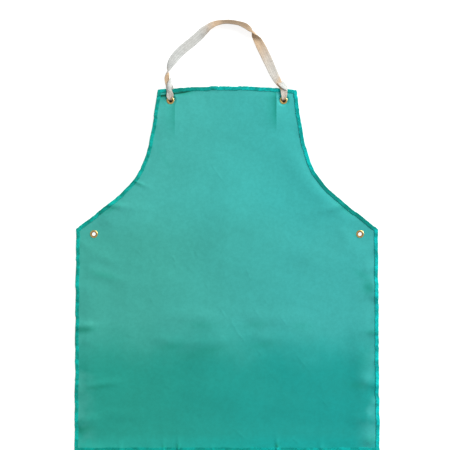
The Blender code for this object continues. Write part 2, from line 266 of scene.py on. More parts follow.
# Painted shade where the cloth dips: x, up, half-widths, strength, turn.
PAINTED_SHADE_PLACES = [
    (-286, 243, 20, 7, 0.42, 4), (-262, 128, 30, 5, 0.25, 6), (-286, 44, 18, 7, 0.40, 10),
    (283, 327, 12, 13, 0.42, 30), (262, 131, 20, 8, 0.30, -8), (292, 238, 12, 5, 0.35, 0),
    (270, 352, 18, 7, 0.22, -30), (288, 24, 12, 8, 0.30, 0), (-52, 252, 30, 8, 0.16, -3),
    (58, 253, 24, 8, 0.15, 8), (-112, 209, 22, 7, 0.22, 4), (-30, 203, 32, 8, 0.20, 7),
    (72, 212, 24, 7, 0.20, 10), (150, 250, 20, 8, 0.15, 0), (-246, 352, 26, 7, 0.20, -12),
    (-232, 484, 22, 5, 0.30, 30), (236, 486, 22, 6, 0.42, -36), (-180, 536, 12, 3, 0.35, -24),
    (-60, 190, 60, 9, 0.14, 0), (276, 180, 16, 20, 0.16, 0), (-127, 6, 3, 7, 0.5, 0),
    (-98, 7, 3, 8, 0.6, 0), (100, 8, 4, 9, 0.8, 0), (-126, 586, 30, 4, 0.10, -60),
    (-128, 703, 12, 5, 0.20, 4), (-84, 714.5, 16, 3.5, 0.35, 9),
]
# The two creases that run down from the bib grommets' knots: x, length, height,
# how far their left and right slopes reach, and how strong the painted shade is on the
# left slope.
BIB_CREASES = [(-104.0, 112.0, 2.2, 14.0, 20.0, 0.30), (98.6, 92.0, 4.4, 11.0, 26.0, 0.60)]
# Slack: the height, random seed and wavelength of each set of hills.
SLACK = [(1.8, 3, 210), (0.7, 8, 95)]
ROLLED_CORNER_HEIGHT = 2.3
# The cloth comes down to its flat place between these two distances from a
# grommet: first in a wide dish, and at the end close round the flange.
GROMMET_DISH = (8.5, 46)
GROMMET_SEAT = (7.9, 13)


def rolling(x, up, seed, wavelength, count=7):
    """Smooth hills from 0 to about 1, from a few waves in seeded directions."""
    rng = np.random.default_rng(seed)
    total = np.zeros(np.broadcast(x, up).shape)
    for _ in range(count):
        way = rng.uniform(0, math.tau)
        stretch = wavelength * rng.uniform(0.7, 1.6)
        phase = rng.uniform(0, math.tau)
        along = (x * math.cos(way) + up * math.sin(way)) / stretch
        total = total + np.cos(math.tau * along + phase)
    return 0.5 + total / (2.2 * math.sqrt(count))


def edge_distance(x, up):
    """About how far a point is inside the nearest edge."""
    # The armholes slant, so a row's end is a little further off than the edge is.
    side = (half_width(up) - np.abs(x)) * 0.8
    # The top edge counts only on the bib, where its crown is that of the outline.
    top = BIB_HEIGHT + BIB_CROWN * (1 - (x / BIB_HALF_WIDTH) ** 2) - up
    on_bib = smoothstep(600, 640, up)
    top = top * on_bib + 200.0 * (1.0 - on_bib)
    return np.maximum(np.minimum(np.minimum(side, up), top), 0.0)


def turned_axes(x, up, centre_x, centre_up, degrees):
    """How far points are along a turned direction from a centre, and across it."""
    a = math.radians(degrees)
    return ((x - centre_x) * math.cos(a) + (up - centre_up) * math.sin(a),
            -(x - centre_x) * math.sin(a) + (up - centre_up) * math.cos(a))


def roll_line(x):
    """Where the bib's rolled left corner ends, along its top edge."""
    return 709.0 + (x + BIB_HALF_WIDTH) * 0.17


def painted_fold_shade(x, up):
    """0 to 1: how much a point's colour is darkened as painted shade, down in folds and dips."""
    # The shadow line of the rolled corner, wider towards the corner.
    reach = 1.7 + 1.3 * smoothstep(-106, -120, x)
    painted_shade = bump(up - roll_line(x) + 0.9, reach) * smoothstep(-60, -84, x)
    for cx, cy, along_by, up_by, strength, way in PAINTED_SHADE_PLACES:
        along, across = turned_axes(x, up, cx, cy, way)
        painted_shade = painted_shade + strength * bump(along, along_by) * bump(across, up_by)
    # Painted shade on each bib crease's left slope.
    for cx, long, _, left, _, shade_strength in BIB_CREASES:
        fade = smoothstep(long, long * 0.5, BIB_HEIGHT - up)
        away = x - cx
        painted_shade = painted_shade + shade_strength * fade * np.where(away < 0, np.exp(away / left), 0.0)
    return np.clip(painted_shade, 0.0, 1.0)


def slack(x, up, inside):
    """The loose cloth in the middle, held down by its own weight near the edges."""
    high = sum(tall * rolling(x, up, seed, length) for tall, seed, length in SLACK)
    high = high + 0.16 * rolling(x, up, 21, 30) * smoothstep(6, 40, inside)
    # A low ridge follows the skirt's edges.
    high = high + 1.4 * bump(inside - 26, 20) * (1.0 - smoothstep(560, 640, up))
    for cx, cy, along_by, up_by, tall, way in SWELLS:
        along, across = turned_axes(x, up, cx, cy, way)
        high = high + tall * bump(along, along_by) * bump(across, up_by)
    return high * (0.55 + 0.45 * smoothstep(0, 22, inside))


def edge_ripple(x, up, inside):
    """The overlocked edge is longer than the cloth, so it ripples."""
    ripple = np.sin((x + up) / 7.3 + 1.4 * np.sin((x - up) / 31)) + np.sin((x - 0.7 * up) / 12.7)
    return 0.45 * (ripple + 2.0) * bump(inside, 9)


def small_folds(x, up):
    """The short creases in the cloth and the folds that run in from its edges."""
    high = 0.0
    for cx, cy, long, tall, way in FINE_CREASES:
        along, across = turned_axes(x, up, cx, cy, way)
        high = high + 0.4 * tall * bump(across - 0.002 * along**2, 1.8) * bump(along, long / 2.4)
    for cx, cy, long, wide, tall, way in EDGE_FOLDS:
        along, across = turned_axes(x, up, cx, cy, way)
        spread = wide * (1 + np.maximum(along, 0) / long)
        high = high + tall * np.exp(-(across / spread) ** 2) * bump(along, long)
    return high


def bib_creases(x, up):
    """Each falls away on both sides of its line, and fades out down the bib."""
    high = 0.0
    down = BIB_HEIGHT - up
    for cx, long, tall, left, right, _ in BIB_CREASES:
        fade = smoothstep(long, long * 0.3, down)
        away = x - cx
        profile = np.where(away < 0, np.exp(away / left), np.exp(-away / right))
        high = high + tall * fade * profile * smoothstep(2, 16, down)
    return high


def flat_at_grommets(x, up, near, far):
    """0 at the grommets' flanges, rising to 1 away from them."""
    free = 1.0
    for gx, gy in GROMMETS.values():
        free = free * smoothstep(near, far, np.hypot(x - gx, up - gy))
    return free


def bib_lift(up):
    """How far the bib's top is held up by the tape behind it."""
    return LIFT * smoothstep(LIFT_STARTS, LIFT_ENDS, up)


def relief(x, up):
    """How far the cloth stands above its flat place, in millimetres."""
    x, up = np.asarray(x, float), np.asarray(up, float)
    inside = edge_distance(x, up)
    high = slack(x, up, inside) + edge_ripple(x, up, inside) + small_folds(x, up)
    high = high * flat_at_grommets(x, up, *GROMMET_DISH) + bib_creases(x, up)
    # The top's left corner is rolled over: it drops along a slanted line.
    rolled = smoothstep(-0.9, 1.1, up - roll_line(x)) * smoothstep(-64, -92, x)
    high = high + ROLLED_CORNER_HEIGHT * rolled
    high = high * flat_at_grommets(x, up, *GROMMET_SEAT)
    return np.maximum(high, 0.0) + bib_lift(up)


# ---------------------------------------------------------------- materials

class Nodes:
    """A short way to build one material's node tree."""

    def __init__(self, name):
        self.material = bpy.data.materials.new(name)
        self.material.use_nodes = True
        self.tree = self.material.node_tree
        self.shader = self.tree.nodes["Principled BSDF"]

    def add(self, kind, inputs=None, **settings):
        node = self.tree.nodes.new("ShaderNode" + kind)
        for key, value in settings.items():
            setattr(node, key, value)
        for key, value in (inputs or {}).items():
            self.feed(node, key, value)
        return node

    def feed(self, node, key, value):
        if isinstance(value, bpy.types.NodeSocket):
            self.tree.links.new(value, node.inputs[key])
        else:
            node.inputs[key].default_value = value

    def set(self, **values):
        for key, value in values.items():
            self.feed(self.shader, key.replace("_", " "), value)

    def where(self):
        return self.add("TexCoord").outputs["Object"]

    def axes(self, vector=None):
        """The x and y of a place in the frame, in metres, or of another vector."""
        split = self.add("SeparateXYZ", {"Vector": vector or self.where()})
        return split.outputs["X"], split.outputs["Y"]

    def stored(self, name):
        """A number that add_values() kept on the mesh."""
        return self.add("Attribute", attribute_name=name).outputs["Fac"]

    def noise(self, scale, detail, roughness):
        return self.add("TexNoise", {"Vector": self.where(), "Scale": scale,
                                     "Detail": detail, "Roughness": roughness}).outputs["Fac"]

    def ramp(self, factor, stops):
        node = self.add("ValToRGB", {"Fac": factor})
        ramp = node.color_ramp
        for i, (at, colour) in enumerate(stops):
            stop = ramp.elements[i] if i < 2 else ramp.elements.new(at)
            stop.position = at
            stop.color = (*colour, 1.0)
        return node.outputs["Color"]

    def mix(self, factor, a, b, blend="MIX"):
        node = self.add("Mix", data_type="RGBA", blend_type=blend)
        self.feed(node, 0, factor)
        self.feed(node, 6, (*a, 1.0) if isinstance(a, tuple) else a)
        self.feed(node, 7, (*b, 1.0) if isinstance(b, tuple) else b)
        return node.outputs[2]

    def maths(self, kind, a, b=0.0, c=0.0):
        node = self.add("Math", operation=kind)
        for i, value in enumerate((a, b, c)):
            self.feed(node, i, value)
        return node.outputs[0]

    def times(self, a, b):
        return self.maths("MULTIPLY", a, b)

    def larger(self, a, b):
        return self.maths("MAXIMUM", a, b)

    def map_range(self, value, low, high, to_low=0.0, to_high=1.0):
        return self.add("MapRange", {"Value": value, "From Min": low, "From Max": high,
                                     "To Min": to_low, "To Max": to_high},
                        interpolation_type="SMOOTHSTEP").outputs["Result"]

    def bump(self, height, distance, strength=1.0, under=None):
        node = self.add("Bump", {"Height": height, "Distance": distance, "Strength": strength})
        if under is not None:
            self.feed(node, "Normal", under)
        return node.outputs["Normal"]


# Colours are linear red, green and blue.  A pair is the apron's left and its right;
# the right is painted lighter, as lit from the right, and the waist's and chest's colours
# are painted lighter than the skirt's, as sheen, most on the chest.
SKIRT_COLOURS = ((0.010, 0.272, 0.212), (0.003, 0.298, 0.272))
WAIST_COLOURS = ((0.044, 0.350, 0.290), (0.040, 0.392, 0.372))
CHEST_COLOURS = ((0.052, 0.392, 0.345), (0.036, 0.425, 0.410))
HEM_TINTS = ((1.50, 1.27, 1.31), (0.20, 1.13, 1.14))
PATCH_TINTS = ((0.965, 0.975, 0.97), (1.035, 1.025, 1.03))
MOTTLE_TINTS = ((0.93, 0.955, 0.95), (1.07, 1.045, 1.05))
CLOTH_GRAIN = (0.01, 0.22, 0.18)
# Painted shade: how the cloth's colour darkens with the painted shade of folds and dips.
FOLD_SHADE_TINTS = [(0.0, (1.0, 1.0, 1.0)), (1.0, (0.01, 0.34, 0.22)), (0.45, (0.40, 0.88, 0.78))]
SHEEN_ON_CLOTH = (0.75, 1.0, 0.97, 1.0)


def dye_and_painted_light(n):
    """The teal dye with painted light: painted sheen above the lower skirt, along the
    skirt's sides and on the bib, and the right side painted lighter than the left."""
    x, y = n.axes()
    # Painted light: the colours are lighter to the right, as lit from the right.
    right = n.map_range(x, -0.26, 0.24)
    # The painted sheen's lower border wanders.
    height = n.maths("ADD", y, n.times(n.noise(7.5, 5.0, 0.6), 0.10))
    painted_sheen = n.map_range(height, -0.230, -0.110)
    # Painted light: the skirt's sides take the sheen colour, as lit from the sides.
    painted_side_light = n.map_range(n.maths("ABSOLUTE", x), 0.250, 0.298, 0.0, 0.85)
    painted_side_light = n.times(painted_side_light, n.map_range(n.noise(14.0, 3.0, 0.6), 0.38, 0.56))
    painted_sheen = n.larger(painted_sheen, painted_side_light)
    skirt = n.mix(right, *SKIRT_COLOURS)
    near_hem = n.map_range(y, -0.392, -0.418)
    skirt = n.mix(near_hem, skirt, n.mix(right, *HEM_TINTS), "MULTIPLY")
    on_bib = n.map_range(y, -0.03, 0.09)
    above = n.mix(on_bib, n.mix(right, *WAIST_COLOURS), n.mix(right, *CHEST_COLOURS))
    return n.mix(painted_sheen, skirt, above)


def cloth_material():
    """Teal sateen: a fine diagonal weave, mottled colour, painted light over the dye, and painted
    shade in the folds.
    """
    n = Nodes("fr_cotton")
    patches = n.map_range(n.noise(11.0, 4.0, 0.6), 0.36, 0.66)
    mottle = n.map_range(n.noise(150.0, 4.0, 0.7), 0.3, 0.7)
    grain = n.noise(900.0, 2.0, 0.6)
    colour = n.mix(1.0, dye_and_painted_light(n), n.mix(patches, *PATCH_TINTS), "MULTIPLY")
    colour = n.mix(1.0, colour, n.mix(mottle, *MOTTLE_TINTS), "MULTIPLY")
    colour = n.mix(n.times(grain, 0.08), colour, CLOTH_GRAIN)
    # Painted shade in the folds and dips, darkening the colour.
    colour = n.mix(1.0, colour, n.ramp(n.stored("fold_shade"), FOLD_SHADE_TINTS), "MULTIPLY")
    turned = n.add("Mapping", {"Vector": n.where(), "Rotation": (0, 0, math.radians(58))})
    weave = n.add("TexWave", {"Vector": turned.outputs["Vector"], "Scale": 420.0,
                              "Distortion": 1.2, "Detail": 2.0}).outputs["Fac"]
    normal = n.bump(n.noise(70.0, 4.0, 0.6), 0.0006, 0.3)
    normal = n.bump(grain, 0.00012, 0.5, normal)
    normal = n.bump(weave, 0.00005, 0.5, normal)
    rough = n.map_range(patches, 0.0, 1.0, 0.62, 0.72)
    n.set(Base_Color=colour, Roughness=rough, Normal=normal)
    n.set(Specular_IOR_Level=0.22, Sheen_Weight=0.05, Sheen_Roughness=0.45)
    n.set(Sheen_Tint=SHEEN_ON_CLOTH)
    return n.material


# Pairs are the left and the right; the right is painted lighter, as lit from the right.
FAINT_THREAD = ((0.0, 0.225, 0.170), (0.0, 0.330, 0.305))
STRONG_THREAD = ((0.0, 0.430, 0.360), (0.0, 0.620, 0.610))
THREAD_GAP_SHADE = ((0.0, 0.045, 0.034), (0.0, 0.17, 0.13))
THREAD_FIBRES = (0.0, 0.46, 0.41)
THREAD_SHADE_COLOUR = (0.0, 0.20, 0.155)
SHEEN_ON_THREAD = (0.5, 1.0, 0.9, 1.0)


def painted_thread_shade(n, x, y):
    """Where the thread is painted in shade: on the hem, on the right armhole near the waist,
    where the edge rolls under, and on the bib's top between the left knot and the middle."""
    hem = n.map_range(y, -0.4195, -0.4235, 0.0, 0.55)
    above_waist = n.map_range(y, 0.008, 0.016)
    below_bib = n.map_range(y, 0.145, 0.105)
    armhole = n.times(n.map_range(x, 0.12, 0.18), n.times(above_waist, below_bib))
    past_knot = n.map_range(x, -0.120, -0.100, 0.0, 0.75)
    before_middle = n.map_range(x, -0.020, -0.070)
    top = n.times(n.map_range(y, 0.282, 0.286), n.times(past_knot, before_middle))
    return n.larger(hem, n.larger(armhole, top))


def thread_material():
    """Overlock thread: strong green loops, with painted shade in the gaps between them."""
    n = Nodes("overlock_thread")
    blotch = n.map_range(n.noise(70.0, 4.0, 0.7), 0.36, 0.64)
    fibres = n.noise(1500.0, 3.0, 0.6)
    x, y = n.axes()
    # Painted light: the thread is lighter to the right, as lit from the right.
    right = n.map_range(x, -0.26, 0.30)
    light = n.mix(blotch, n.mix(right, *FAINT_THREAD), n.mix(right, *STRONG_THREAD))
    # Painted shade in the gaps between the loops, where the stitch ridges are low.
    gaps = n.mix(blotch, *THREAD_GAP_SHADE)
    colour = n.mix(n.map_range(n.stored("stitch"), 0.15, 0.60), gaps, light)
    colour = n.mix(n.times(fibres, 0.15), colour, THREAD_FIBRES)
    # Painted shade on the thread at those places.
    colour = n.mix(n.times(painted_thread_shade(n, x, y), 0.8), colour, THREAD_SHADE_COLOUR)
    n.set(Base_Color=colour, Roughness=0.8, Normal=n.bump(fibres, 0.0002, 0.6))
    n.set(Specular_IOR_Level=0.15, Sheen_Weight=0.04, Sheen_Roughness=0.5)
    n.set(Sheen_Tint=SHEEN_ON_THREAD)
    return n.material


BRIGHT_BRASS = (0.87, 0.62, 0.24)
DARK_BRASS = (0.74, 0.47, 0.14)
EYELET_MOUTH_SHADE = (0.10, 0.055, 0.02)


def brass_material():
    """Polished brass with patches of tarnish, and painted shade darkening the eyelets' mouths."""
    n = Nodes("brass")
    tarnish = n.map_range(n.noise(220.0, 4.0, 0.6), 0.35, 0.7)
    colour = n.mix(tarnish, BRIGHT_BRASS, DARK_BRASS)
    # Painted shade in the eyelets' mouths.
    colour = n.mix(n.times(n.stored("mouth_shade"), 0.9), colour, EYELET_MOUTH_SHADE)
    scratches = n.noise(1800.0, 2.0, 0.5)
    n.set(Base_Color=colour, Roughness=n.map_range(tarnish, 0, 1, 0.15, 0.30))
    n.set(Metallic=1.0, Normal=n.bump(scratches, 0.00004, 0.4))
    return n.material


RIB_PITCH_M = 0.0013
COOL_YARN = ((0.56, 0.585, 0.575), (0.68, 0.705, 0.690))
WARM_YARN = ((0.57, 0.375, 0.215), (0.70, 0.490, 0.295))
BETWEEN_RIBS = (0.30, 0.25, 0.18)
BETWEEN_COLUMNS = (0.34, 0.31, 0.26)
TAPE_FIBRES = (0.85, 0.84, 0.80)
TAPE_SHADE_COLOUR = (0.012, 0.008, 0.005)


def tape_material():
    """Natural cotton twill tape: herringbone ribs in four columns, slubs, a yarn
    colour from a cool cream to a tan that is partly painted shade along the folds at the
    knots, and painted shade in the grommet holes and where the tape stands on edge round the neck."""
    n = Nodes("cotton_tape")
    along, across = n.axes(n.add("UVMap", uv_map="tape").outputs["UV"])
    # One width is added to keep it above 0; the ribs' slant turns back every column.
    out = n.maths("PINGPONG", n.maths("ADD", across, TAPE_WIDTH * MM), TAPE_COLUMN * MM)
    phase = n.maths("ADD", along, n.times(out, 1.1))
    ribs = n.maths("SINE", n.times(phase, math.tau / RIB_PITCH_M))
    ribs = n.maths("MULTIPLY_ADD", ribs, 0.5, 0.5)
    column = n.maths("DIVIDE", out, TAPE_COLUMN * MM)
    valley = n.map_range(n.maths("ABSOLUTE", n.maths("SUBTRACT", column, 0.5)), 0.28, 0.5)
    slubs = n.map_range(n.noise(260.0, 4.0, 0.65), 0.3, 0.72)
    fibres = n.noise(1600.0, 2.0, 0.6)
    # The tan is partly painted shade along the folds at the knots.
    colour = n.mix(n.stored("tan_and_fold_shade"), n.mix(slubs, *COOL_YARN), n.mix(slubs, *WARM_YARN))
    colour = n.mix(n.times(n.maths("SUBTRACT", 1.0, ribs), 0.16), colour, BETWEEN_RIBS)
    colour = n.mix(n.times(valley, 0.34), colour, BETWEEN_COLUMNS)
    colour = n.mix(n.times(fibres, 0.10), colour, TAPE_FIBRES)
    # Painted shade on the tape, in the grommet holes and where it stands on edge.
    colour = n.mix(n.stored("tape_shade"), colour, TAPE_SHADE_COLOUR)
    normal = n.bump(valley, 0.00022, 0.6)
    normal = n.bump(ribs, 0.00018, 0.7, normal)
    normal = n.bump(fibres, 0.00012, 0.5, normal)
    n.set(Base_Color=colour, Roughness=0.88, Normal=normal)
    n.set(Specular_IOR_Level=0.2, Sheen_Weight=0.08, Sheen_Roughness=0.6)
    return n.material


def floor_material():
    """Plain white paper, a little self-lit so that it stays pale in the shadows."""
    n = Nodes("floor_white")
    n.set(Base_Color=(0.48, 0.48, 0.48, 1.0), Roughness=0.9, Specular_IOR_Level=0.1)
    n.set(Emission_Color=(1.0, 1.0, 1.0, 1.0), Emission_Strength=0.76)
    return n.material


# ---------------------------------------------------------------- cloth panel

def panel_grid():
    """Rows of points from side to side, which follow the outline: x and up."""
    skirt = np.arange(EDGE_INSET, WAIST_HEIGHT, PANEL_PITCH)
    bib = np.arange(WAIST_HEIGHT, TOP_ROWS_START, BIB_ROW_PITCH)
    top = np.linspace(TOP_ROWS_START, BIB_HEIGHT - EDGE_INSET, TOP_ROWS)
    rows = np.concatenate([skirt, bib, top])
    columns = np.linspace(-1.0, 1.0, round(2 * HEM_HALF_WIDTH / PANEL_PITCH))
    slant = np.where(rows < WAIST_HEIGHT, 1.0, ARMHOLE_SLANT)
    reach = half_width(rows) - EDGE_INSET * slant
    crown = smoothstep(CROWN_STARTS, BIB_HEIGHT, rows)[:, None] * BIB_CROWN
    x = reach[:, None] * columns[None, :]
    return x, rows[:, None] + crown * (1.0 - columns[None, :] ** 2)


def make_panel(surface):
    """The cloth as a fine grid that follows the outline, with the relief."""
    x, up = panel_grid()
    index = np.arange(x.size).reshape(x.shape)
    quads = np.stack([index[:-1, :-1], index[:-1, 1:], index[1:, 1:], index[1:, :-1]], axis=-1)
    keep = np.ones(quads.shape[:2], bool)
    mid_x = (x[1:, 1:] + x[:-1, :-1]) / 2
    mid_up = (up[1:, 1:] + up[:-1, :-1]) / 2
    for gx, gy in GROMMETS.values():
        keep &= np.hypot(mid_x - gx, mid_up - gy) > CLOTH_HOLE_RADIUS
    points = place(x, up, CLOTH_MIDDLE + relief(x, up))
    panel = new_mesh("cloth_panel", points, quads[keep].tolist(), [surface])
    # The painted shade of folds and dips, kept for the cloth's material.
    add_values(panel, "fold_shade", painted_fold_shade(x, up))
    remove_vertices(panel, np.setdiff1d(index, quads[keep]))
    thick = panel.modifiers.new("thickness", "SOLIDIFY")
    thick.thickness = CLOTH_THICKNESS * MM
    thick.offset = 0.0
    return panel


def remove_vertices(piece, which):
    bm = bmesh.new()
    bm.from_mesh(piece.data)
    bm.verts.ensure_lookup_table()
    bmesh.ops.delete(bm, geom=[bm.verts[i] for i in which], context="VERTS")
    bm.to_mesh(piece.data)
    bm.free()


# ---------------------------------------------------------------- overlock

STITCH_PITCH = 2.9
STITCH_SLANT = 0.16         # stitches of lean for each millimetre across the band
BAND_STEP = 0.42            # spacing of the band's sections along the edge
BAND_HALF_HEIGHT = 0.95
BAND_ENDS_SHORT_BY = 0.3
LOOP_HEIGHT = 0.38          # how far a loop stands up from the band's face
LOOP_BULGE = 0.35           # how far it bulges past the cloth's cut edge
SCALLOP = 0.55              # how far the inner edge draws in between loops
FACE_POINTS = 11
# How far inside the edge each point of the section is, and its side, from 1 on the
# face to -1 on the back: round the outside, then back inside, where it isn't seen.
RIM = [(0.35, 0.8), (0.05, 0.45), (0.0, 0.0), (0.05, -0.45), (0.35, -0.8)]
CORE = [(7.2, -0.12), (4.0, -0.1), (4.0, 0.1), (7.2, 0.12)]


def resample(points, spacing):
    """Points at even steps along a line, with how far along it each one is."""
    along = distance_along(points)
    count = max(8, round(along[-1] / spacing))
    at = np.linspace(0.0, along[-1], count + 1)
    return at, np.stack([np.interp(at, along, points[:, k]) for k in range(2)], axis=1)


def band_section():
    """Inset and side of each point of the section, and 1 where it is seen."""
    rim = np.array(RIM)
    core = np.array(CORE)
    face = np.linspace(OVERLOCK_WIDTH, 0.9, FACE_POINTS)
    inset = np.concatenate([face, rim[:, 0], face[::-1], core[:, 0]])
    side = np.concatenate([np.ones(FACE_POINTS), rim[:, 1], -np.ones(FACE_POINTS), core[:, 1]])
    shown = np.concatenate([np.ones(len(inset) - len(core)), np.zeros(len(core))])
    return inset, side, shown


def make_overlock(name, run, seed, surface):
    """A band of looped thread round one edge: slanted ridges across the face,
    a scalloped inner edge, and bulging loops over the cloth's cut edge."""
    along, line = resample(run, BAND_STEP)
    ahead = directions(line)
    inward = np.stack([-ahead[:, 1], ahead[:, 0]], axis=1)
    rng = np.random.default_rng(seed)
    count = len(along)
    swells = max(8, count // 14)
    slow = wandering(along, 60, rng.normal(0, 1, 60))
    swell = wandering(along, swells, rng.uniform(0.45, 1.25, swells))
    beat = along / STITCH_PITCH + 0.12 * slow
    scallop = SCALLOP * (0.5 + 0.5 * np.cos(math.tau * beat))
    spots, heights, values = [], [], []
    for inset, side, on in zip(*band_section()):
        phase = beat + STITCH_SLANT * inset * np.sign(side if side else 1.0)
        ply = np.abs(np.sin(3 * math.pi * phase))
        ridge = 0.8 * np.abs(np.sin(math.pi * phase)) ** 0.7 + 0.2 * ply
        loop = swell * ridge
        inner = float(smoothstep(OVERLOCK_WIDTH - 1.4, OVERLOCK_WIDTH, inset))
        outer = float(1.0 - smoothstep(0.2, 1.6, inset))
        here = inset - on * scallop * inner
        here = here - on * outer * (LOOP_BULGE * loop - 0.25)
        spots.append(line + inward * here[:, None])
        heights.append(side * (BAND_HALF_HEIGHT + on * LOOP_HEIGHT * loop * (1.0 - 0.6 * inner)))
        values.append(ridge * (0.65 + 0.35 * swell) * on)
    spots = np.stack(spots, axis=1)
    base = CLOTH_MIDDLE + relief(spots[..., 0], spots[..., 1])
    z = np.maximum(base + np.stack(heights, axis=1), 0.02)
    wobble = 0.45 * np.sin(along / 9.0 + slow) + 0.25 * slow
    spots = spots + inward[:, None, :] * wobble[:, None, None]
    points = place(spots[..., 0], spots[..., 1], z)
    points[0, :, :2] += ahead[0] * BAND_ENDS_SHORT_BY * MM
    points[-1, :, :2] -= ahead[-1] * BAND_ENDS_SHORT_BY * MM
    around = spots.shape[1]
    faces = tube_faces(count, around, closed_ends=False)
    faces.append(tuple(range(around))[::-1])
    faces.append(tuple(range((count - 1) * around, count * around)))
    piece = new_mesh(name, points, faces, [surface])
    add_values(piece, "stitch", np.stack(values, axis=1))
    return piece


# ---------------------------------------------------------------- grommets

GROMMET_STEPS = 96
# Closed sections of the brass, as radius and height.  The eyelet goes up its barrel
# to the mouth, over the flange's crest, round its rolled rim and back underneath.
EYELET_BARREL = [(4.05, 0.02), (3.72, 0.10), (3.70, 0.50), (3.70, 1.20), (3.74, 1.55)]
EYELET_RIM = [(7.74, 1.62), (7.45, 1.56), (4.12, 1.60), (4.10, 1.50)]
WASHER = [(4.42, 0.12), (6.0, 0.07), (7.35, 0.10), (7.52, 0.28), (7.4, 0.5), (4.5, 0.5),
          (4.42, 0.4)]


def eyelet_section():
    arc = np.linspace(0, math.pi, 13)
    crest = np.stack([5.75 - 1.95 * np.cos(arc), 1.72 + 0.72 * np.sin(arc)], axis=1)
    return np.vstack([EYELET_BARREL, crest, EYELET_RIM])


def make_grommet(label, x, up, surface):
    """Eyelet and washer: a rolled flange that turns down into the barrel."""
    turn = np.linspace(0, math.tau, GROMMET_STEPS, endpoint=False)[:, None]
    for kind, section in (("eyelet", eyelet_section()), ("washer", np.array(WASHER))):
        r, z = section.T
        around = len(r)
        points = place(x + r * np.cos(turn), up + r * np.sin(turn), z + float(bib_lift(up)))
        faces = []
        for i in range(GROMMET_STEPS):
            k = (i + 1) % GROMMET_STEPS
            for j in range(around):
                m = (j + 1) % around
                faces.append((i * around + j, i * around + m, k * around + m, k * around + j))
        node = f"{label}_grommet_{kind}"
        piece = new_mesh(f"{node}_fine", points, faces, [surface])
        # How much painted shade darkens the mouth.
        add_values(piece, "mouth_shade", np.tile(smoothstep(5.7, 4.4, r), GROMMET_STEPS))
        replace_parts(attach(piece, "apron"), node)


# ---------------------------------------------------------------- tape

